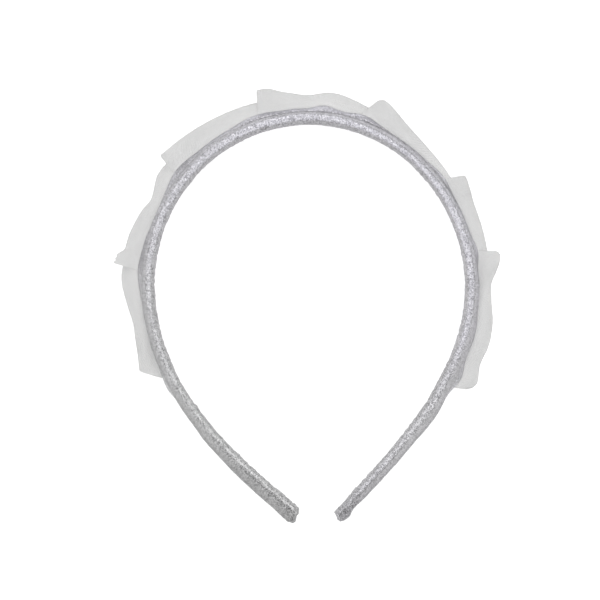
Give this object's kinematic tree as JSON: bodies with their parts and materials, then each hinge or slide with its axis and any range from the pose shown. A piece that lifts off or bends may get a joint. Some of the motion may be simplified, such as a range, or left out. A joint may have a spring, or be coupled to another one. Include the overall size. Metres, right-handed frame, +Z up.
{
  "type": "crown headband",
  "caption": "Padded hoop headband in silver knit, open at its tips, with a frill of overlapping grey net panels standing out of its outer seam; it grips the head over the crown.",
  "frame": {"origin": "on the surface it lies on, under the middle of its footprint", "axes": "+Y from the tips to the crown, in the hoop's plane; +Z up, out of the hoop's front edge"},
  "size_m": [0.139, 0.1562, 0.01],
  "materials": {
    "silver_knit": "fine metallic knit, bluish silver, sparkling",
    "grey_net": "sheer matt tulle net, pale grey"
  },
  "bodies": {
    "root": {"band": "silver_knit", "tulle_panel_1": "grey_net", "tulle_panel_2": "grey_net", "tulle_panel_3": "grey_net", "tulle_panel_4": "grey_net", "tulle_panel_5": "grey_net", "tulle_panel_6": "grey_net", "tulle_panel_7": "grey_net"}
  },
  "joints": []
}
